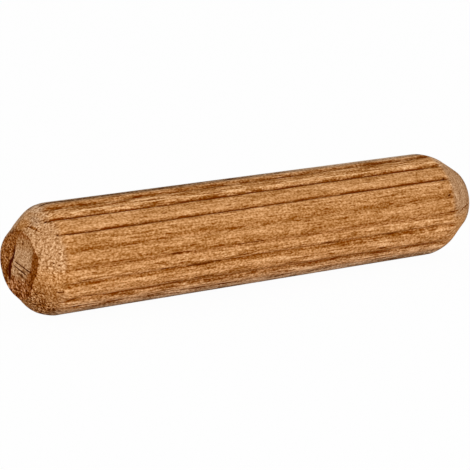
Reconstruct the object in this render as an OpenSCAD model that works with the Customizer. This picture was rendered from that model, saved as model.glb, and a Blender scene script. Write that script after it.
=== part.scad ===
// Fluted wooden dowel pin, lying along X on the lips of its lowest flute.
// Millimetres. +Z is up, and the origin is on the surface below the pin's middle.

/* [Pin] */
// Overall length, from end face to end face
pin_len = 40; // [20:1:80]
// Diameter across the lands, which is the size of the hole it is glued into
pin_d = 8; // [6:1:12]

/* [Flutes] */
// Number of flutes round the pin
flute_count = 20; // [10:2:24]
// Width of a flute between its two lips
flute_w = 0.3; // [0.1:0.05:0.5]
// Depth of a flute below its lips
flute_depth = 0.3; // [0.1:0.05:0.6]
// Width of the flat at the bottom of a flute
flute_root_w = 0.06; // [0.02:0.01:0.1]

/* [Blunt end, at -X] */
// Diameter of the sawn face
blunt_face_d = 4.9; // [3:0.1:7]
// Length of the chamfer along the pin
blunt_chamfer_len = 1.7; // [1.2:0.1:3]
// Radius that rounds the chamfer into the body
blunt_shoulder_r = 2.4; // [0.4:0.1:2.8]

/* [Slender end, at +X] */
// Diameter of the sawn face
slender_face_d = 5.2; // [3:0.1:7]
// Length of the chamfer along the pin
slender_chamfer_len = 2.5; // [1.2:0.1:4]
// Radius that rounds the chamfer into the body
slender_shoulder_r = 2.2; // [0.4:0.1:2.8]

/* [Hidden] */

$fn = 96;
pin_r = pin_d / 2;
// Lips of the lowest flute touch the surface, a hair above the full circle
axis_z = sqrt(pow(pin_r, 2) - pow(flute_w / 2, 2));
flute_pitch = 360 / flute_count;
// Straight steps along each shoulder's arc
shoulder_steps = 6;
// How far the flute cutter stands clear of the pin, all round and at each end
cutter_clear = 1;

// Outline of one end, from its sawn face in to the body, as [radius, distance from the face].
// The shoulder is an arc, tangent to the chamfer and to the body.
function end_points(face_r, chamfer_len, shoulder_r) =
    let (
        slope = atan2(pin_r - face_r, chamfer_len),
        reach = shoulder_r * tan(slope / 2),
        arc_centre = [pin_r - shoulder_r, chamfer_len + reach]
    )
    [
        [face_r, 0],
        for (i = [0 : shoulder_steps])
            let (turn = slope * (1 - i / shoulder_steps))
                arc_centre + shoulder_r * [cos(turn), -sin(turn)]
    ];

// The same points measured from the pin's other end, in reverse order
function from_far_end(points) =
    [for (i = [len(points) - 1 : -1 : 0]) [points[i].x, pin_len - points[i].y]];

// Turned blank, standing on its blunt end
module blank() {
    blunt_end = end_points(blunt_face_d / 2, blunt_chamfer_len, blunt_shoulder_r);
    slender_end = end_points(slender_face_d / 2, slender_chamfer_len, slender_shoulder_r);
    rotate_extrude()
        polygon([[0, 0], each blunt_end, each from_far_end(slender_end), [0, pin_len]]);
}

// One flute's cutter along the whole pin, on its +X side
module flute_cutter() {
    root_r = axis_z - flute_depth;
    outer_r = pin_r + cutter_clear;
    lip = flute_w / 2;
    root = flute_root_w / 2;
    outer = root + (lip - root) * (outer_r - root_r) / flute_depth;
    translate([0, 0, -cutter_clear])
        linear_extrude(pin_len + 2 * cutter_clear)
            polygon([[root_r, -root], [outer_r, -outer], [outer_r, outer], [root_r, root]]);
}

module dowel_pin() {
    color("burlywood")
        translate([-pin_len / 2, 0, axis_z]) rotate([0, 90, 0])
            difference() {
                blank();
                for (i = [0 : flute_count - 1])
                    rotate([0, 0, i * flute_pitch]) flute_cutter();
            }
}

dowel_pin();
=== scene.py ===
import math

import bmesh
import bpy
import numpy as np
from mathutils import Matrix, Vector
from mathutils import noise as perlin


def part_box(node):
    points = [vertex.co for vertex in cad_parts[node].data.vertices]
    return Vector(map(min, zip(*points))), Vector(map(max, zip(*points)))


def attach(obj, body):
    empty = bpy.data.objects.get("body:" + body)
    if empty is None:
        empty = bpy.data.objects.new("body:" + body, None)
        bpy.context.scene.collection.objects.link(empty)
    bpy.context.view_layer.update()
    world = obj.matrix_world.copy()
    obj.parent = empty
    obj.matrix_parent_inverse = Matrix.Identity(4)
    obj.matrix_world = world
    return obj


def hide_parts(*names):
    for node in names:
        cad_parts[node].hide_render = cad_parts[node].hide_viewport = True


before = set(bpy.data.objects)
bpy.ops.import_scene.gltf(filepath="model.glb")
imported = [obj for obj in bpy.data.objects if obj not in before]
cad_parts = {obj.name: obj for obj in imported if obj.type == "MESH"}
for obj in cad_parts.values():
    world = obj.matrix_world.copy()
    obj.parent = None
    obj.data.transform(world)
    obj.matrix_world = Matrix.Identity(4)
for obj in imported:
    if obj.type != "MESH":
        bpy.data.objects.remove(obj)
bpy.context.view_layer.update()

mm = 0.001
near = 0.01  # places closer than this, in mm, count as the same
sameLength = 0.0002  # and so do lengths that differ by less than this
pinLow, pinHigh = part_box("dowel_pin")
halfLength = (pinHigh.x - pinLow.x) / 2 / mm
axisHeight = (pinHigh.z + pinLow.z) / 2 / mm


# The pin lies along X. Sizes and places are in millimetres, y and z on the faces are taken from the
# axis, and angles are in degrees, 0 at -Y and 90 on top.
pin = {
    "radius": 3.997,  # across the lands
    "bluntFace": 2.45,  # radius of the sawn face at -X
    "bluntChamfer": 1.7,  # length of its chamfer
    "bluntRounding": 2.4,  # radius of its shoulder
    "slenderFace": 2.48,  # the same at +X
    "slenderChamfer": 2.45,
    "slenderRounding": 3.0,
    "shoulderSteps": 14,
    "spinSteps": 280,  # a multiple of the flute count
    "weld": 0.002,  # points of the turned pin closer than this are joined
    "bluntZone": 2,  # length from the blunt face on which the rings of points are closest
    "bluntSpacing": 0.08,
    "bodySpacing": 0.19,
    "slenderZone": 3,
    "slenderSpacing": 0.13,
    "sharpAngle": 50,  # edges that turn more than this stay sharp

    "fluteCount": 20,
    "fluteHalfWidth": 0.22,
    "fluteDepth": 0.2,
    "fluteStray": 1.2,  # angle that a flute may lie off its even place
    "fluteSway": 0.35,  # angle that it wanders along the way
    "fluteSpread": 9.5,  # angle that the flutes move apart as they climb the blunt shoulder
    "fluteUneven": 0.2,  # share by which width and depth change along the way
    "fluteStart": -18.5,  # x on the blunt shoulder
    "fluteFade": 16.9,  # x at the slender shoulder where the flutes begin to fade
    "fluteStop": 17.6,
    "crown": 0.025,  # how far a land falls towards its flutes
    "gathering": 1.5,  # power that draws the columns of points towards the flutes
    "bluntMarks": -17.5,  # x beyond which lie the marks that belong to the blunt end
    "seed": 7,

    # flutes with a shape of their own, counted up from the -Y side: angle at mid length, angle gained
    # per 10 mm towards +X, half width, depth, how much brown shade is painted into the hollow, how dark and
    # unbroken the painted shade line at its bottom is, and x of its start on the blunt shoulder
    "namedFlutes": {
        4: (79.6, 1.7, 0.38, 0.22, 1.25, 0.6, -18.46),
        3: (58.0, 0.7, 0.20, 0.30, 0.78, 1.6, -18.94),
        2: (38.1, 0.7, 0.14, 0.22, 0.50, 1.05, -18.66),
        1: (18.3, 0.2, 0.28, 0.10, 0.60, 0.1, -18.34),
        0: (-1.6, -0.4, 0.24, 0.13, 0.57, 0.3, -18.51),
        19: (-15.8, 0.6, 0.32, 0.15, 0.60, 0.2, -18.66),
        18: (-39.0, -0.9, 0.36, 0.17, 0.70, 0.25, -18.26),
        17: (-54.6, -2.2, 0.32, 0.14, 0.60, 0.2, -18.3),
    },

    # where the painted shade line at the bottom of a flute is fainter, or stronger if the share is below
    # zero:
    # x, angle, x, angle, half width, share
    "gaps": [
        (-18.82, 60.3, -18.64, 58.4, 0.12, 0.8),
        (-18.24, 56.4, -17.95, 55.1, 0.12, 0.8),
        (-13.5, 57.4, -5.5, 57.4, 0.9, 0.3),
        (-4.5, 57.6, 8.0, 58.6, 0.9, -0.4),
        (-10.5, 37.6, 6.5, 38.4, 0.9, 0.22),
        (12.5, 38.8, 18.0, 39.2, 0.9, -0.3),
    ],

    # dark streaks on the side: x, angle, x, angle, half width
    "streakDepth": 0.05,
    "streaks": [
        (-10.2, 0.4, -7.6, 0.3, 0.10),
        (-4.0, 0.3, -1.3, 0.0, 0.06),
        (-17.2, -14.0, -16.3, -13.0, 0.07),
        (-10.7, -14.6, -9.2, -15.2, 0.08),
        (-8.0, -16.4, -5.2, -16.0, 0.07),
        (-3.9, -12.2, -2.4, -12.4, 0.10),
        (4.0, -14.0, 4.9, -14.0, 0.13),
        (5.2, -15.8, 6.1, -16.1, 0.08),
        (10.2, -15.2, 11.7, -15.0, 0.05),
        (13.0, -13.4, 16.7, -12.4, 0.05),
        (-17.9, -38.0, -17.0, -37.2, 0.09),
        (-16.6, -35.4, -15.4, -35.0, 0.08),
        (-10.0, -36.0, -7.7, -34.4, 0.10),
        (-7.3, -32.4, -5.3, -32.8, 0.14),
        (9.9, -32.4, 10.6, -32.6, 0.11),
        (1.2, -32.0, 1.8, -32.4, 0.08),
        (7.0, -38.6, 7.6, -38.8, 0.09),
        (-17.2, -52.4, -16.2, -53.0, 0.11),
        (-14.2, -52.0, -12.8, -52.2, 0.14),
        (-6.0, -52.4, -3.4, -53.2, 0.14),
        (16.7, 0.2, 17.7, 0.8, 0.09),
        (18.0, -1.8, 18.8, 0.4, 0.11),
        (18.8, 0.4, 19.6, 2.2, 0.12),
        (-18.9, -27.6, -18.2, -26.0, 0.07),
        (-19.56, 77.0, -19.30, 53.5, 0.09),
        (-18.70, 67.2, -18.62, 64.6, 0.09),
    ],

    # pale raised splinters: x, angle, x, angle, half width
    "splinterHeight": 0.02,
    "splinters": [
        (-9.4, -2.2, -8.0, -2.0, 0.06),
        (-18.6, -23.4, -17.9, -24.6, 0.07),
        (2.8, -3.6, 4.9, -4.0, 0.08),
        (-2.4, -3.4, -1.4, -3.4, 0.06),
        (17.1, 42.4, 17.2, 38.4, 0.08),
        (17.3, 23.5, 17.5, 18.5, 0.08),
        (17.2, 35.5, 17.35, 25.0, 0.05),
        (-18.70, 73.0, -18.44, 67.0, 0.07),
        (-18.44, 68.0, -18.50, 61.8, 0.08),
        (-18.48, 62.6, -18.74, 59.7, 0.07),
        (-18.70, 60.0, -18.90, 62.0, 0.06),
        (-19.05, 60.6, -19.38, 64.4, 0.06),
    ],

    # short deep notches where a flute stops at the slender shoulder: x, angle, x, angle, half width
    "notchDepth": 0.14,
    "notches": [
        (16.75, 40.2, 16.95, 39.2, 0.10),
        (16.8, 19.2, 17.0, 20.2, 0.10),
    ],

    # crack along a growth ring on the blunt face: y, z, half width
    "crackDepth": 0.06,
    "crack": [
        (0.40, 1.18, 0.06),
        (0.50, 0.75, 0.09),
        (0.78, 0.27, 0.12),
        (1.14, -0.11, 0.17),
        (1.30, -0.51, 0.21),
        (1.33, -0.88, 0.20),
        (1.36, -1.30, 0.14),
    ],

    # holes torn by the saw in the blunt face: y, z, half width
    "tearDepth": 0.04,
    "tears": [
        [(0.20, -0.74, 0.06), (-0.30, -0.80, 0.12), (-0.56, -0.92, 0.06)],
        [(-0.72, 1.62, 0.07), (-0.62, 1.5, 0.07)],
        [(1.55, -0.45, 0.05), (1.65, -0.80, 0.08), (1.55, -1.15, 0.05)],
    ],

    # scorched band near the rim of the blunt face: y, z, half width
    "scorch": [
        (-2.05, 1.1, 0.08),
        (-2.35, 0.64, 0.18),
        (-2.3, 0.1, 0.26),
        (-1.95, -0.5, 0.27),
        (-1.55, -1.2, 0.18),
    ],

    # how the ends differ from round and square ones
    "faceRipple": 0.012,
    "faceSlant": 0.035,  # how far the blunt face falls back, for each mm below its top
    "slantTop": 1.2,
    "bluntLean": 0.05,
    "bluntFlat": 0.2,  # depth of the flat at the back of the blunt chamfer
    "slenderLean": 0.09,
    "hollows": [  # in the blunt chamfer: x, reach, angle where it begins, angle where it is full, depth
        (-19.1, 0.4, -45, -70, 0.08),
        (-18.1, 0.6, 70, 95, 0.05),
    ],
    "rimBulges": [  # of the blunt face: angle, reach in degrees, distance off its circle
        (17, 10, 0.26),
        (-30, 21, -0.40),
        (48, 16, 0.14),
        (136, 26, 0.10),
    ],
    "fuzz": 0.003,  # height of the loose fibres all over the side

    # growth rings that run out along the side, paler or darker: angle, reach in degrees, change of tone
    "rings": [
        # painted shade: this darker band runs along the grazing top rim, not along a growth ring
        (92, 5, -0.10),
        (80, 3, 0.06),
        (70, 3, -0.02),
        (62, 3, 0.12),
        (42, 4, 0.05),
        (4, 4, -0.09),
        (-4, 2, 0.08),
        (-16, 3, -0.05),
        (-24, 3, 0.06),
        (-37, 5, -0.06),
        (-46, 4, 0.09),
        (-59, 5, 0.04),
    ],

    # places where the wood is paler or darker than round about:
    # x, angle, reach along, reach in degrees, change of tone, how grey
    "patches": [
        (-19.13, 74.5, 0.27, 11.5, 0.01, 0.65),
        (-18.35, 92.0, 0.36, 12.0, 0.21, 0.6),
        (-19.58, 91.0, 0.36, 15.0, -0.13, 0.0),
        (-18.85, 28.0, 0.50, 30.0, 0.01, 0.35),
        (-18.35, -36.0, 0.35, 9.0, 0.11, 0.25),
        (-17.9, 70.0, 0.35, 5.0, -0.05, 0.15),
        (-19.1, -47.0, 0.5, 8.0, 0.035, 0.2),
        (-18.7, -61.0, 0.7, 7.0, -0.12, 0.0),
        (-15.2, -8.0, 4.6, 6.0, -0.045, 0.0),
        (-3.2, 66.5, 2.6, 6.0, 0.09, 0.0),
        (-2.2, 81.5, 2.7, 4.0, 0.06, 0.1),
        (-1.8, -25.0, 2.3, 6.0, -0.05, 0.0),
        # these two patches paint the pale grey and the darker shade of the grazing top rim
        (10.4, 94.0, 7.0, 8.0, 0.22, 1.0),
        (-9.0, 96.0, 8.0, 5.0, -0.07, 0.0),
        (8.2, 81.0, 4.6, 4.0, 0.04, 0.1),
        (-1.5, -47.0, 3.6, 5.0, 0.04, 0.0),
        (-13.5, 60.6, 3.6, 2.2, 0.10, 0.0),
        (5.0, 57.0, 4.6, 7.0, -0.055, 0.0),
        (-4.6, 15.0, 4.6, 4.0, -0.06, 0.0),
        (-4.6, -18.0, 4.6, 2.4, -0.09, 0.0),
        (13.0, -17.5, 3.6, 2.0, -0.06, 0.0),
        (-4.6, -29.0, 4.6, 2.4, -0.10, 0.0),
        (-13.0, -37.4, 4.4, 1.8, -0.10, 0.0),
        (8.6, -40.0, 8.4, 2.4, -0.08, 0.0),
        (-8.5, -53.0, 8.0, 2.0, -0.10, 0.0),
        (-8.5, -61.0, 8.0, 2.6, 0.08, 0.0),
        (13.0, -41.0, 3.4, 2.0, -0.08, 0.0),
        (13.0, 20.4, 3.4, 2.2, 0.08, 0.0),
        (4.6, -35.0, 4.6, 2.0, 0.08, 0.0),
        (13.0, 71.0, 3.4, 2.4, -0.08, 0.0),
        (13.8, -8.0, 2.1, 6.0, -0.04, 0.0),
        (17.4, -22.0, 0.85, 9.5, -0.085, 0.1),
    ],

    # how grey the wood is on parts of the pin, from 0 to 1, some of it painted light as marked below
    "endGrey": 0.36,
    "slenderRimGrey": 0.7,
    "slenderEndGrey": 0.56,
    # painted shade, greyer, on the low side of the blunt chamfer
    "lowChamferShadeGrey": 0.22,  # low on the blunt chamfer
    # painted reflection of the white floor, grey on the underside
    "floorReflectionGrey": 0.25,
    "lowestReflectionGrey": 0.6,  # more of it further down the underside
    # painted sheen along the +Y rim of the blunt face
    "paleRimGrey": 0.8,

    # how strong the grain's contrast is round the pin: angle, contrast
    "contrast": [
        (-180, 1.0),
        (-60, 1.5),
        (-46, 1.55),
        (-34, 1.22),
        (-12, 1.07),
        (-6, 0.93),
        (8, 0.8),
        (28, 0.93),
        (46, 0.72),
        (56, 1.1),
        (65, 1.6),
        (78, 1.1),
        (180, 1.0),
    ],
}


def selectNone():
    for item in bpy.context.selected_objects:
        item.select_set(False)


def drawOutline():
    # half outline of the pin, from the middle of one sawn face round to the other
    corners = [
        (-halfLength, 0),
        (-halfLength, pin["bluntFace"]),
        (-halfLength + pin["bluntChamfer"], pin["radius"]),
        (halfLength - pin["slenderChamfer"], pin["radius"]),
        (halfLength, pin["slenderFace"]),
        (halfLength, 0),
    ]
    selectNone()
    bpy.ops.mesh.primitive_plane_add(size=mm, location=(-halfLength * mm, 0, axisHeight * mm))
    outline = bpy.context.object
    outline.name = "dowelPin"
    bpy.ops.object.transform_apply(location=True, rotation=False, scale=False)
    bpy.ops.object.mode_set(mode="EDIT")
    bpy.ops.mesh.select_all(action="SELECT")
    bpy.ops.mesh.merge(type="CENTER")
    for start, end in zip(corners, corners[1:]):
        step = ((end[0] - start[0]) * mm, 0, (end[1] - start[1]) * mm)
        bpy.ops.mesh.extrude_vertices_move(TRANSFORM_OT_translate={"value": step})
    return outline


def roundShoulder(mesh, x, faceRadius, chamfer, rounding):
    # bevels the corner between chamfer and body, with an arc that touches both
    bpy.ops.mesh.select_mode(type="VERT")
    bpy.ops.mesh.select_all(action="DESELECT")
    bm = bmesh.from_edit_mesh(mesh)
    corner = Vector((x, 0, axisHeight + pin["radius"])) * mm
    for v in bm.verts:
        if (v.co - corner).length < near * mm:
            v.select_set(True)
    bmesh.update_edit_mesh(mesh)
    slope = math.atan2(pin["radius"] - faceRadius, chamfer)
    reach = rounding * math.tan(slope / 2)
    bpy.ops.mesh.bevel(offset_type="OFFSET", offset=reach * mm, segments=pin["shoulderSteps"], profile=0.5,
                       affect="VERTICES")


def middleX(edge):
    return (edge.verts[0].co.x + edge.verts[1].co.x) / 2 / mm


def selectEdges(mesh, test):
    bm = bmesh.from_edit_mesh(mesh)
    bpy.ops.mesh.select_mode(type="EDGE")
    bpy.ops.mesh.select_all(action="DESELECT")
    for edge in bm.edges:
        if test(edge):
            edge.select_set(True)
    bmesh.update_edit_mesh(mesh)


def refine(mesh, fromX, toX, spacing):
    # cuts each straight edge between two places into even steps of about the spacing
    lengths = set()
    for edge in bmesh.from_edit_mesh(mesh).edges:
        if fromX <= middleX(edge) <= toX and edge.calc_length() > 1.5 * spacing * mm:
            lengths.add(round(edge.calc_length() / mm, 4))
    for length in lengths:
        selectEdges(mesh, lambda edge: fromX <= middleX(edge) <= toX
                    and abs(edge.calc_length() / mm - length) < sameLength)
        bpy.ops.mesh.subdivide(number_cuts=max(1, round(length / spacing) - 1))


def turnPin():
    outline = drawOutline()
    mesh = outline.data
    roundShoulder(mesh, -halfLength + pin["bluntChamfer"],
                  pin["bluntFace"], pin["bluntChamfer"], pin["bluntRounding"])
    roundShoulder(mesh, halfLength - pin["slenderChamfer"],
                  pin["slenderFace"], pin["slenderChamfer"], pin["slenderRounding"])
    bodyStart, bodyEnd = -halfLength + pin["bluntZone"], halfLength - pin["slenderZone"]
    refine(mesh, -halfLength - near, bodyStart, pin["bluntSpacing"])
    refine(mesh, bodyStart, bodyEnd, pin["bodySpacing"])
    refine(mesh, bodyEnd, halfLength + near, pin["slenderSpacing"])
    bpy.ops.mesh.select_all(action="SELECT")
    bpy.ops.mesh.spin(steps=pin["spinSteps"], angle=2 * math.pi, dupli=False,
                      center=(0, 0, axisHeight * mm), axis=(1, 0, 0))
    bpy.ops.mesh.select_all(action="SELECT")
    bpy.ops.mesh.remove_doubles(threshold=pin["weld"] * mm)
    bpy.ops.mesh.normals_make_consistent(inside=False)
    bpy.ops.object.mode_set(mode="OBJECT")
    return outline


print("stage: turning the pin")
dowel = turnPin()


def smooth(low, high, values):
    # 0 at low, 1 at high, in either order, and even beyond them
    t = np.clip((values - low) / (high - low), 0, 1)
    return t * t * (3 - 2 * t)


def hump(values, middle, reach):
    # 1 at the middle, and about a third at the reach
    return np.exp(-((values - middle) / reach) ** 2)


def field(x, y, z=0.0):
    # smooth seeded unevenness, about -1 to 1, at each point of the arrays
    x, y, z = np.broadcast_arrays(np.asarray(x, float), y, z)
    return np.array([perlin.noise(Vector(p)) for p in zip(x.ravel(), y.ravel(), z.ravel())]).reshape(x.shape)


class Surface:
    # the pin's points as place along it, angle round it and radius, with the masks that dress them
    def __init__(self, mesh):
        self.mesh = mesh
        flat = np.zeros(len(mesh.vertices) * 3)
        mesh.vertices.foreach_get("co", flat)
        points = flat.reshape(-1, 3) / mm
        y, z = points[:, 1], points[:, 2] - axisHeight
        self.x = points[:, 0]
        self.sunkX = self.x  # x once the faces are worn
        self.turned = np.hypot(y, z)  # radius before any wear
        self.radius = self.turned
        self.angle = np.degrees(np.arctan2(z, -y))
        self.sawn = np.abs(self.x) > halfLength - near
        self.blunt = self.sawn & (self.x < 0)
        self.side = ~self.sawn
        self.masks = {}

    def yz(self):
        turn = np.radians(self.angle)
        return -np.cos(turn) * self.radius, np.sin(turn) * self.radius

    def write(self):
        y, z = self.yz()
        points = np.stack([self.sunkX, y, z + axisHeight], axis=1)
        self.mesh.vertices.foreach_set("co", (points * mm).astype(np.float32).ravel())
        for name, values in self.masks.items():
            layer = self.mesh.attributes.new(name, "FLOAT", "POINT")
            layer.data.foreach_set("value", values.astype(np.float32))
        self.mesh.update()


def fluteTable():
    # each column holds one value of every flute
    rng = np.random.default_rng(pin["seed"])
    rows = []
    for k in range(pin["fluteCount"]):
        angle = k * 360 / pin["fluteCount"]
        angle = angle - 360 if angle > 180 else angle
        chance = rng.uniform(-1, 1, 6)
        row = (
            angle + pin["fluteStray"] * chance[0],
            0.6 * chance[1],
            pin["fluteHalfWidth"] * (1 + 0.3 * chance[2]),
            pin["fluteDepth"] * (1 + 0.3 * chance[3]),
            0.6 + 0.3 * chance[4],
            0.5 + 0.4 * chance[5],
            pin["fluteStart"],
        )
        rows.append(pin["namedFlutes"].get(k, row))
    names = ["angle", "gain", "halfWidth", "depth", "brown", "line", "start"]
    return dict(zip(names, np.array(rows).T))


def bendColumns(surface, flutes):
    # gathers the columns of points at each flute and bends them along its course
    pitch = 360 / pin["fluteCount"]
    number = np.round(surface.angle / pitch)
    local = surface.angle - number * pitch
    gathered = np.sign(local) * (np.abs(local) / (pitch / 2)) ** pin["gathering"] * pitch / 2
    onSide = smooth(0.35, 0.75, surface.radius / pin["radius"])
    local = local + (gathered - local) * onSide
    below = np.floor((number * pitch + local) / pitch).astype(int)
    share = (number * pitch + local) / pitch - below

    def course(k):
        # how far flute k lies from its even place
        k0 = np.mod(k, pin["fluteCount"])
        turns = np.round((k * pitch - flutes["angle"][k0]) / 360) * 360
        sway = pin["fluteSway"] * field(surface.x * 0.12, k0 * 5.3, 4.1)
        return flutes["angle"][k0] + turns + flutes["gain"][k0] * surface.x / 10 + sway - k * pitch

    shift = course(below) * (1 - share) + course(below + 1) * share
    angle = number * pitch + local + shift * onSide
    # the flutes spread away from the middle of the -Y side as they climb the blunt shoulder
    spread = pin["fluteSpread"] * smooth(-17.5, -19.3, surface.x) * onSide
    surface.angle = angle + spread * np.sin(np.radians(angle - 12))
    surface.flute = np.mod(number, pin["fluteCount"]).astype(int)
    surface.across = np.radians(local) * pin["radius"]  # from the bottom of the nearest flute


def lineMask(u, v, points):
    # 1 on a line through points (u, v, half width), 0 beyond its edges
    mask = np.zeros(len(u))
    for (u0, v0, w0), (u1, v1, w1) in zip(points, points[1:]):
        du, dv = u1 - u0, v1 - v0
        along = np.clip(((u - u0) * du + (v - v0) * dv) / (du * du + dv * dv), 0, 1)
        away = np.hypot(u - u0 - along * du, v - v0 - along * dv) / (w0 + along * (w1 - w0))
        mask = np.maximum(mask, smooth(1.5, 0.5, away))
    return mask


def sideMask(surface, marks):
    # marks on the side taper to both ends
    mask = np.zeros(len(surface.x))
    toMm = math.radians(1) * pin["radius"]
    around = surface.angle * toMm
    for x0, angle0, x1, angle1, width in marks:
        middle = ((x0 + x1) / 2, (angle0 + angle1) / 2 * toMm, width)
        ends = [(x0, angle0 * toMm, width * 0.4), middle, (x1, angle1 * toMm, width * 0.4)]
        mask = np.maximum(mask, lineMask(surface.x, around, ends))
    return mask


def leanEnds(surface):
    # how far the chamfers stand off the turned ones, because they were not cut quite round
    x, angle = surface.x, surface.angle
    high = np.sin(np.radians(angle))
    atBack = hump(angle, 132, 36) * smooth(179, 150, angle)
    onBlunt = smooth(-17.8, -18.9, x)
    onSlender = smooth(17.4, 20.0, x)
    blunt = onBlunt * (-pin["bluntLean"] * high - pin["bluntFlat"] * atBack)
    for place, reach, begins, full, depth in pin["hollows"]:
        blunt = blunt - depth * hump(x, place, reach) * smooth(begins, full, angle)
    slender = onSlender * pin["slenderLean"] * high
    onFace = np.minimum(surface.turned / pin["bluntFace"], 1) ** 2
    rim = sum(off * hump(angle, middle, reach) for middle, reach, off in pin["rimBulges"])
    nearRim = hump(surface.turned, pin["bluntFace"], 0.45) * (x < pin["bluntMarks"])
    return (blunt + slender) * onFace + rim * nearRim


def pressSide(surface, flutes):
    # sinks flutes, streaks and notches into the side, and raises splinters and loose fibres
    x, across, flute = surface.x, surface.across, surface.flute
    y, z = surface.yz()
    uneven = pin["fluteUneven"]
    width = flutes["halfWidth"][flute] * (1 + uneven * field(x * 0.4, flute * 4.3, 8.8))
    started = smooth(pin["fluteStop"], pin["fluteFade"], x)
    depth = flutes["depth"][flute] * (1 + uneven * field(x * 0.22, flute * 9.1, 3.7)) * (0.2 + 0.8 * started)
    valley = np.clip(1 - np.abs(across) / width, 0, 1)
    halfLand = math.pi * pin["radius"] / pin["fluteCount"]
    crown = pin["crown"] * smooth(halfLand, 0, np.abs(across))
    body = pin["radius"] - depth * valley - crown
    leant = surface.turned + leanEnds(surface)
    start = flutes["start"][flute]
    onShoulder = smooth(start - 0.05, start + 0.25, x) * (x < 0)
    level = np.minimum(leant - 0.5 * depth * valley * onShoulder, body)
    fuzz = pin["fuzz"] * (1 + field(x * 0.7, y * 4.5, z * 4.5))
    fuzz = fuzz + pin["fuzz"] * (1 + field(x * 3.1, y * 5.5, z * 5.5))

    surface.fluteWidth = width
    surface.fluteSeen = np.maximum(smooth(-0.02, 0.06, leant - body), onShoulder) * started
    surface.streak = sideMask(surface, pin["streaks"]) * surface.side
    surface.splinter = sideMask(surface, pin["splinters"]) * surface.side
    surface.notch = sideMask(surface, pin["notches"]) * surface.side
    cut = level - fuzz - pin["streakDepth"] * surface.streak - pin["notchDepth"] * surface.notch
    surface.radius = np.where(surface.sawn, leant, cut + pin["splinterHeight"] * surface.splinter)


def sawBluntFace(surface):
    # the crack, the torn holes and the ripple of the saw, on a face a little out of square
    x = surface.x
    y, z = surface.yz()
    surface.split = lineMask(y, z, pin["crack"]) * surface.blunt
    surface.torn = np.maximum.reduce([lineMask(y, z, tear) for tear in pin["tears"]]) * surface.blunt
    ripple = np.where(surface.blunt, pin["faceRipple"] * (1 + field(y * 3, z * 3, 5.5)), 0)
    sunk = x + pin["crackDepth"] * surface.split + pin["tearDepth"] * surface.torn + ripple
    surface.sunkX = sunk + pin["faceSlant"] * np.maximum(pin["slantTop"] - z, 0) * smooth(-18.7, -19.9, x)


def markFlutes(surface, flutes):
    # painted shade, a dark line at the bottom of a flute and brown in its hollow, and a painted highlight on
    # its pale lower lip
    x, across, flute = surface.x, surface.across, surface.flute
    dark = flutes["line"][flute]
    waver = 0.05 * field(x * 0.9, flute * 3.1, 2.2)
    line = hump(across, waver, 0.042 + 0.032 * dark)
    broken = smooth(-0.35, 0.35, field(x * 0.5, flute * 6.7, 1.3) + 1.4 * dark - 0.7)
    for *mark, share in pin["gaps"]:
        broken = broken - share * sideMask(surface, [mark])
    line = line * np.maximum(broken, 0) * (0.4 + 0.6 * dark) * surface.fluteSeen
    hollowShade = flutes["brown"][flute] * hump(across, 0.05, surface.fluteWidth * 0.9) * surface.fluteSeen
    lip = hump(across, -0.1 - surface.fluteWidth, 0.12) * surface.fluteSeen
    lip = lip * smooth(0, 0.3, field(x * 0.7, flute * 2.3, 6.6))
    # painted shade also lies in the torn holes and the notches, beside the dark streaks
    line = np.maximum(line, 0.9 * np.maximum(surface.streak, surface.torn))
    surface.masks["crease"] = np.maximum(line, surface.notch)
    surface.masks["shade"] = np.maximum(hollowShade, topScorch(surface) * surface.side)
    surface.masks["lip"] = np.maximum(0.5 * lip, 1.3 * surface.splinter)


def topScorch(surface):
    # the rim of the blunt face is scorched wider on top, where the saw left the wood
    ring = hump(surface.turned, pin["bluntFace"] - 0.05, 0.2) * (surface.x < pin["bluntMarks"])
    return ring * smooth(62, 80, surface.angle) * smooth(140, 118, surface.angle)


def markFaces(surface):
    # the scorched rim of the blunt face, with a pale grey sheen painted along its +Y edge
    y, z = surface.yz()
    bluntFace = pin["bluntFace"]
    paleRim = hump(surface.turned, bluntFace, 0.13) * surface.blunt
    paleRim = paleRim * smooth(112, 135, np.abs(surface.angle + 20))
    rim = hump(surface.turned, bluntFace, 0.09) * (surface.x < -halfLength + 0.15)
    scorch = lineMask(y, z, pin["scorch"]) * surface.blunt
    burnt = np.maximum.reduce([scorch, 0.7 * rim, 1.5 * topScorch(surface)])
    surface.paleRim = paleRim
    surface.masks["sawn"] = surface.sawn.astype(float)
    surface.masks["split"] = surface.split
    surface.masks["burnt"] = burnt * (1 - paleRim) - 1.6 * paleRim


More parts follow.
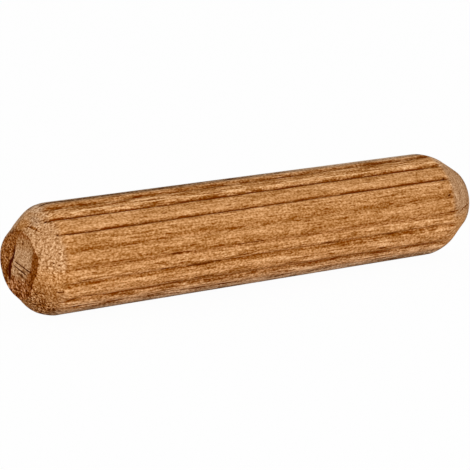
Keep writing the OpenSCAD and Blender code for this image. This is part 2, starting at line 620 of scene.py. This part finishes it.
def markGrain(surface):
    # end grain on both ends, and the contrast, tone and greyness of the wood all over, with painted shade on
    # the top rim and the low blunt chamfer, and a painted reflection of the floor on the underside
    x, angle, side = surface.x, surface.angle, surface.side
    y, z = surface.yz()
    # the rear of the pin is even, and as warm as the front
    above, below = smooth(178, 130, angle), smooth(-150, -80, angle)
    facing = 1 - 0.75 * np.maximum(smooth(104, 128, angle), smooth(-80, -106, angle))
    onSlender = smooth(17.0, 17.6, x)
    slenderRim = smooth(19.2, 19.7, x)
    # painted shade on the low side of the blunt chamfer, which faces down
    lowSide = smooth(-6, -52, angle) * smooth(-17.9, -18.6, x) * side * below
    endGrain = smooth(0.10, 0.35, pin["radius"] - surface.turned + 0.12 * field(x * 2.0, y * 2.0, z * 2.0))

    rough = np.interp(angle, *zip(*pin["contrast"]))
    endRough = 1.05 + (0.7 * smooth(-38, -58, angle) - 0.25 * smooth(0, -25, angle)) * below
    rough = rough + (endRough - rough) * endGrain

    band = sum(change * hump(angle, middle, reach) for middle, reach, change in pin["rings"])
    band = band * (1 + 0.3 * field(x * 0.3, angle * 0.09)) * smooth(-18.6, -17.6, x) * smooth(18.4, 17.0, x)
    paleEnd = 0.025 * endGrain * smooth(-30, 10, angle) * (x < 0) * above
    band = band + 0.03 * onSlender - 0.05 * slenderRim + paleEnd

    # the underside is greyed with a painted reflection of the white floor
    floorReflection = pin["floorReflectionGrey"] * smooth(-34, -46, angle) + pin["lowestReflectionGrey"] * smooth(-48, -62, angle)
    # painted shade: a grey band along the grazing top rim
    topRimShade = smooth(78, 95, angle - 20 * smooth(-17.8, -18.8, x))
    slenderGrey = pin["slenderEndGrey"]
    slenderDull = smooth(16.9, 17.5, x) * (slenderGrey - slenderGrey * smooth(4, -16, angle)) * above
    dull = np.maximum.reduce([floorReflection * smooth(-19, -18, x), slenderDull, topRimShade]) * facing
    endGrey = pin["endGrey"] * endGrain * smooth(-20, 15, angle) * above
    grey = np.maximum.reduce([endGrey, pin["slenderRimGrey"] * slenderRim, pin["lowChamferShadeGrey"] * lowSide])
    smoothCut = onSlender * (0.45 + 0.55 * smooth(-14, 4, angle) * above)
    for place, middle, along, around, change, greyness in pin["patches"]:
        patch = np.exp(-((x - place) / along) ** 4 - ((angle - middle) / around) ** 4) * side
        band = band + change * patch
        smoothCut = smoothCut + greyness * patch * 0.5
        grey = grey + (greyness - grey) * patch
    marks = np.maximum(surface.streak, surface.notch)
    dull = np.maximum(dull, grey) * (1 - 0.9 * marks)

    surface.masks["endGrain"] = endGrain
    surface.masks["pits"] = np.maximum.reduce([endGrain, 0.8 * surface.streak, surface.notch])
    surface.masks["lowSide"] = lowSide
    surface.masks["smoothCut"] = smoothCut
    surface.masks["band"] = band
    surface.masks["rough"] = rough
    surface.masks["dull"] = np.where(surface.sawn, pin["paleRimGrey"] * surface.paleRim, dull)


def wearPin(mesh):
    surface = Surface(mesh)
    flutes = fluteTable()
    bendColumns(surface, flutes)
    pressSide(surface, flutes)
    sawBluntFace(surface)
    markFlutes(surface, flutes)
    markFaces(surface)
    markGrain(surface)
    surface.write()


print("stage: pressing the flutes")
wearPin(dowel.data)


class Value:
    # a node's output that takes part in Python sums
    def __init__(self, shader, socket):
        self.shader = shader
        self.socket = socket

    def math(self, operation, first, second):
        return self.shader.make("ShaderNodeMath", {"operation": operation}, {0: first, 1: second})

    def __add__(self, other):
        return self.math("ADD", self, other)

    __radd__ = __add__

    def __sub__(self, other):
        return self.math("SUBTRACT", self, other)

    def __rsub__(self, other):
        return self.math("SUBTRACT", other, self)

    def __mul__(self, other):
        return self.math("MULTIPLY", self, other)

    __rmul__ = __mul__

    def __pow__(self, other):
        return self.math("POWER", self, other)

    def __abs__(self):
        return self.shader.make("ShaderNodeMath", {"operation": "ABSOLUTE"}, {0: self})

    def top(self, other):
        return self.math("MAXIMUM", self, other)

    def ramp(self, low, high):
        # 0 at low, 1 at high, in either order, and smooth between them
        settings = {"interpolation_type": "SMOOTHSTEP"}
        inputs = {"Value": self, "From Min": low, "From Max": high}
        return self.shader.make("ShaderNodeMapRange", settings, inputs)


class Shader:
    # the nodes of a material or of the world
    def __init__(self, owner):
        owner.use_nodes = True
        self.owner = owner
        self.nodes = owner.node_tree.nodes
        self.links = owner.node_tree.links
        self.nodes.clear()

    def make(self, kind, settings=None, inputs=None, output=0):
        node = self.nodes.new(kind)
        for name, value in (settings or {}).items():
            if name == "stops":
                ramp = node.color_ramp
                while len(ramp.elements) < len(value):
                    ramp.elements.new(0.5)
                for element, (place, color) in zip(ramp.elements, value):
                    element.position = place
                    element.color = color
            else:
                setattr(node, name, value)
        for name, value in (inputs or {}).items():
            if isinstance(value, Value):
                self.links.new(value.socket, node.inputs[name])
            else:
                node.inputs[name].default_value = value
        return Value(self, node.outputs[output]) if node.outputs else None

    def scaled(self, vector, x, y, z):
        inputs = {"Vector": vector, "Scale": (x, y, z)}
        return self.make("ShaderNodeMapping", {"vector_type": "POINT"}, inputs)

    def axis(self, vector, name):
        return self.make("ShaderNodeSeparateXYZ", None, {"Vector": vector}, name)

    def noise(self, vector, detail, roughness, distortion):
        inputs = {"Vector": vector, "Scale": 1, "Detail": detail, "Roughness": roughness,
                  "Distortion": distortion}
        return self.make("ShaderNodeTexNoise", {"noise_dimensions": "3D"}, inputs)

    def mask(self, name):
        settings = {"attribute_name": name, "attribute_type": "GEOMETRY"}
        return self.make("ShaderNodeAttribute", settings, None, "Fac")

    def mix(self, share, first, second, blend="MIX"):
        settings = {"data_type": "RGBA", "blend_type": blend, "clamp_factor": True}
        return self.make("ShaderNodeMix", settings, {0: share, 6: first, 7: second}, 2)

    def stops(self, level, stops):
        return self.make("ShaderNodeValToRGB", {"stops": stops}, {"Fac": level}, "Color")


def tone(red, green, blue):
    # a colour as it looks on screen, 0 to 255, as the linear light that shaders take
    def linear(level):
        level = level / 255
        return level / 12.92 if level <= 0.04045 else ((level + 0.055) / 1.055) ** 2.4
    return (linear(red), linear(green), linear(blue), 1.0)


# Levels run from 0, the darkest fibre, to 1, the palest.
wood = {
    "tones": [
        (0.0, tone(123, 50, 0)),
        (0.2, tone(138, 73, 2)),
        (0.4, tone(165, 107, 50)),
        (0.6, tone(199, 141, 86)),
        (0.8, tone(228, 171, 117)),
        (1.0, tone(254, 204, 150)),
    ],
    # greyer from grey wood, and from the painted shade, reflection and sheen on rims and underside
    "dullTones": [  # the same where the surface is greyer
        (0.0, tone(70, 34, 8)),
        (0.2, tone(102, 67, 34)),
        (0.4, tone(142, 106, 74)),
        (0.6, tone(174, 139, 107)),
        (0.8, tone(204, 170, 138)),
        (1.0, tone(234, 202, 170)),
    ],
    "crack": tone(72, 16, 2),
    "scorched": (0.93, 0.85, 0.95, 1.0),  # tint of the dark parts of the sawn face
    "deep": (0.42, 0.36, 0.45, 1.0),  # tint of the darkest pits, in the end grain and the streaks
    "deepLevels": (0.24, -0.14),  # levels at which that tint begins and is full
    "roughness": 0.75,
    "relief": 0.03,  # height of the grain's bumps, in mm
    "bump": 0.5,  # how strongly they turn the light
    "grains": {  # cells per mm along and across the pin, detail, roughness, distortion
        "streaks": (0.12, 1.8, 4, 0.6, 0.3),
        "fibres": (0.45, 7.5, 1, 0.5, 0),
        "grit": (5.0, 9.0, 1, 0.5, 0),
        "specks": (2.4, 8.0, 1, 0.5, 0),
        "cells": (7.0, 7.0, 1, 0.6, 0),
        "pores": (0.9, 7.5, 1, 0.5, 0),
        "turning": (11.0, 0.5, 1, 0.5, 0),
        "mottle": (3.5, 5.5, 2, 0.6, 0),
    },
    "weights": {  # how far each of them moves the level
        "streaks": 0.5,
        "fibres": 0.88,
        "grit": 1.15,
        "cells": 1.15,
        "turning": 0.6,
        "faceCells": 1.1,
        "faceGrit": 1.1,
    },
    "level": 0.585,  # usual level of the side
    # the shade painted into the flute hollows, and the scorch at the top of the blunt rim, lower the level
    # this far
    "shade": 0.24,  # how far the level falls in the hollows of the flutes
    "crease": 0.48,
    "pores": 0.24,
    # on the flutes' lower lips this rise is a painted highlight, and on splinters it is their own pale wood
    "lip": 0.2,  # how far it rises on lips and splinters
    "paleLevel": 0.66,  # between the dark growth rings of the sawn face
    "darkLevel": 0.35,
    # darkens the scorch, and lightens the painted sheen on the blunt face's +Y rim
    "burnt": 0.12,
    "torn": 0.5,
    "sawLine": 0.65,
    # dark growth rings of the blunt face, in mm from its middle: where each begins and is full
    "leftRing": (0.52, 0.74),
    "rightRing": (-1.45, -1.8),
    "bottomRing": (-0.35, -0.85),
    "topRing": (1.75, 2.05),
    # saw lines across the blunt face: rise per mm towards +Y, height at the axis, from y, to y
    "sawLines": [(0.232, -0.03, -1.75, 0.50), (0.284, -0.403, -1.0, 0.75)],
}


def sideLevel(shader, grain):
    # long grain on the side, round cells on the ends, and the shade and highlights painted along the flutes
    weights = wood["weights"]
    endGrain = shader.mask("endGrain")
    smoothCut = shader.mask("smoothCut")
    rough = shader.mask("rough") * (1 - smoothCut * 0.3)
    # rough places have longer fibres, not coarser grit
    coarse = (rough - 1) * (1 - endGrain)
    along = (grain["streaks"] - 0.5) * weights["streaks"] + (grain["fibres"] - 0.5) * weights["fibres"]
    along = along * (1 - endGrain) * (coarse * 0.35 + 1)
    ends = (grain["cells"] - 0.5) * weights["cells"]
    grit = (grain["grit"] - 0.5) * (1 - coarse * 0.5) * weights["grit"]
    shade = shader.mask("shade")
    pores = (grain["pores"] + shade * 0.08).ramp(0.62, 0.70)
    cut = shader.mask("crease")
    crease = (cut + (grain["specks"] - 0.5) * 1.6).ramp(0.25, 0.85) * cut ** 0.5
    level = wood["level"] + (along + ends * endGrain + grit) * rough + shader.mask("band")
    # painted shade in the flute hollows and along the lines at their bottoms
    level = level - shade * wood["shade"] - pores * wood["pores"] - crease * wood["crease"]
    turning = (grain["turning"] - 0.5) * smoothCut * weights["turning"]
    # painted highlight on the flutes' lower lips
    level = level + shader.mask("lip") * wood["lip"] + turning
    # painted shade darkens the low side of the blunt chamfer
    level = level - shader.mask("lowSide") * (grain["cells"].ramp(0.62, 0.38) * 0.19 + 0.17)
    relief = grain["fibres"] * 0.6 + grain["grit"] * 0.8 - pores * 0.7
    return level, relief


def faceLevel(shader, grain, inMm):
    # growth rings lie across the sawn face, pale and hatched between two dark ones
    y, z = shader.axis(inMm, "Y"), shader.axis(inMm, "Z") - axisHeight
    mottle, cells, weights = grain["mottle"], grain["cells"], wood["weights"]
    blunt = shader.axis(inMm, "X").ramp(1, -1)
    across = y + z * 0.35 + (mottle - 0.5) * 0.25
    left = (across - z.ramp(0.9, 0.4) * 0.12).ramp(*wood["leftRing"]) * blunt
    right = (across - z.ramp(-0.3, -0.8) * 0.32).ramp(*wood["rightRing"]) * blunt
    bottom = (z + mottle).ramp(*wood["bottomRing"]) * (blunt * 0.6 + 0.4)
    dark = left.top(right).top(bottom).top(z.ramp(*wood["topRing"]) * 0.8)

    hatchPlace = shader.make("ShaderNodeCombineXYZ", None, {"Y": y * 0.7 + z * 0.14, "Z": z * 13 - y * 3.2})
    hatch = shader.noise(hatchPlace, 1, 0.5, 0).ramp(0.52, 0.38)
    upper = z.ramp(0.9, 1.5)
    pale = wood["paleLevel"] - upper * 0.16 - hatch * 0.15 - across.ramp(-0.9, -1.5) * 0.13
    brown = wood["darkLevel"] - right * 0.09 - left * (z.ramp(-0.2, -0.6) * 0.09 + 0.06)
    brown = brown - z.ramp(-1.5, -2.1) * 0.08 + (mottle - 0.5) * (bottom * 2.2 + left * 0.8 + 0.5)
    brown = brown - cells.ramp(0.46, 0.34) * left * 0.2
    speckle = (cells - 0.5) * weights["faceCells"] + (grain["grit"] - 0.5) * weights["faceGrit"]
    speckle = speckle * (1 + left * 0.1 - right * 0.15)
    level = pale + (brown - pale) * dark + speckle
    # painted shade in the torn holes of the sawn face
    level = level - shader.mask("burnt") * wood["burnt"] - shader.mask("crease") * wood["torn"]
    for slope, height, low, high in wood["sawLines"]:
        line = abs(z - y * slope - height).ramp(0.08, 0.03)
        level = level - line * y.ramp(low, low + 0.2) * y.ramp(high, high - 0.2) * blunt * wood["sawLine"]
    grey = (1 - dark) * (0.5 - upper * 0.2)
    scorched = dark * (1 - left * 0.5)
    return level, grey, scorched


def makeWood():
    shader = Shader(bpy.data.materials.new("beech"))
    place = shader.make("ShaderNodeTexCoord", None, None, "Object")
    inMm = shader.scaled(place, 1 / mm, 1 / mm, 1 / mm)
    grain = {}
    for name, (along, across, *character) in wood["grains"].items():
        grain[name] = shader.noise(shader.scaled(inMm, along, across, across), *character)
    level, relief = sideLevel(shader, grain)
    onFace, faceGrey, scorched = faceLevel(shader, grain, inMm)
    sawn = shader.mask("sawn")
    level = level + (onFace - level) * sawn
    # grey wood with painted light: shade on the top rim and the low blunt chamfer, the floor's reflection
    # underneath, and the sheen on the blunt face's rim
    greyness = shader.mask("dull") + faceGrey * sawn

    color = shader.mix(greyness, shader.stops(level, wood["tones"]), shader.stops(level, wood["dullTones"]))
    color = shader.mix(scorched * sawn, color, wood["scorched"], "MULTIPLY")
    color = shader.mix(level.ramp(*wood["deepLevels"]) * shader.mask("pits"), color, wood["deep"], "MULTIPLY")
    color = shader.mix(shader.mask("split"), color, wood["crack"])
    bump = {"Strength": wood["bump"], "Distance": wood["relief"] * mm, "Height": relief}
    surface = shader.make("ShaderNodeBsdfPrincipled", None, {
        "Base Color": color,
        "Roughness": wood["roughness"],
        "Specular IOR Level": 0.0,
        "Normal": shader.make("ShaderNodeBump", None, bump, "Normal"),
    }, "BSDF")
    shader.make("ShaderNodeOutputMaterial", None, {"Surface": surface})
    return shader.owner


print("stage: wood")
dowel.data.materials.append(makeWood())
selectNone()
bpy.context.view_layer.objects.active = dowel
dowel.select_set(True)
bpy.ops.object.shade_smooth_by_angle(angle=math.radians(pin["sharpAngle"]))
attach(dowel, "root")
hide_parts("dowel_pin")


studio = {
    "floorSize": 1.2,  # in metres, as the lamp's size and place are
    "floorDrop": 0.02,  # mm between the floor and the pin
    "floorTone": tone(248, 248, 248),
    "whiteShare": 0.97,  # share of plain white that the camera sees in the floor
    "skyLight": 0.82,
    "lampPlace": (-0.34, -0.52, 0.07),
    "lampSize": 0.3,
    "lampPower": 2.2,
}


def makeFloor():
    selectNone()
    bpy.ops.mesh.primitive_plane_add(size=studio["floorSize"], location=(0, 0, -studio["floorDrop"] * mm))
    floor = bpy.context.object
    floor.name = "floor"
    shader = Shader(bpy.data.materials.new("paleFloor"))
    matte = shader.make("ShaderNodeBsdfDiffuse", None, {"Color": studio["floorTone"]})
    white = shader.make("ShaderNodeEmission", None, {"Color": (1, 1, 1, 1), "Strength": 1.0})
    seen = shader.make("ShaderNodeLightPath", None, None, "Is Camera Ray") * studio["whiteShare"]
    surface = shader.make("ShaderNodeMixShader", None, {0: seen, 1: matte, 2: white})
    shader.make("ShaderNodeOutputMaterial", None, {"Surface": surface})
    floor.data.materials.append(shader.owner)


def makeSky():
    # white to the camera, and a little less on the pin
    world = bpy.data.worlds.new("studio")
    bpy.context.scene.world = world
    shader = Shader(world)
    seen = shader.make("ShaderNodeLightPath", None, None, "Is Camera Ray")
    level = shader.make("ShaderNodeMix", None, {0: seen, 2: studio["skyLight"], 3: 1.0})
    background = shader.make("ShaderNodeBackground", None, {"Strength": level})
    shader.make("ShaderNodeOutputWorld", None, {"Surface": background})


def makeLamp():
    data = bpy.data.lights.new("frontLamp", "AREA")
    data.shape = "DISK"
    data.size = studio["lampSize"]
    data.energy = studio["lampPower"]
    lamp = bpy.data.objects.new("frontLamp", data)
    bpy.context.scene.collection.objects.link(lamp)
    lamp.location = studio["lampPlace"]
    aim = Vector((0, 0, axisHeight * mm)) - lamp.location
    lamp.rotation_mode = "QUATERNION"
    lamp.rotation_quaternion = aim.to_track_quat("-Z", "Y")


view = {
    "turn": 36.855,  # degrees from -Y towards -X
    "rise": 11.443,
    "distance": 177.66,  # from the pin's middle, in mm
    "right": -0.907,  # of the line to the middle, in mm
    "up": -0.386,
    "pixelsPerTangent": 2387.0,
    "frameWidth": 470,  # in pixels
    "sensorWidth": 36,
    "clip": (0.01, 10),
}


def makeCamera():
    turn, rise = math.radians(view["turn"]), math.radians(view["rise"])
    back = Vector((-math.sin(turn) * math.cos(rise), -math.cos(turn) * math.cos(rise), math.sin(rise)))
    right = (-back).cross(Vector((0, 0, 1))).normalized()
    up = right.cross(-back)
    data = bpy.data.cameras.new("camera")
    data.sensor_width = view["sensorWidth"]
    data.lens = view["pixelsPerTangent"] / view["frameWidth"] * data.sensor_width
    data.clip_start, data.clip_end = view["clip"]
    camera = bpy.data.objects.new("camera", data)
    bpy.context.scene.collection.objects.link(camera)
    middle = Vector((0, 0, axisHeight))
    camera.location = (middle + back * view["distance"] + right * view["right"] + up * view["up"]) * mm
    camera.rotation_mode = "QUATERNION"
    camera.rotation_quaternion = Matrix((right, up, back)).transposed().to_quaternion()
    bpy.context.scene.camera = camera


print("stage: floor, light and camera")
makeFloor()
makeSky()
makeLamp()
makeCamera()
bpy.context.scene.view_settings.view_transform = "Standard"
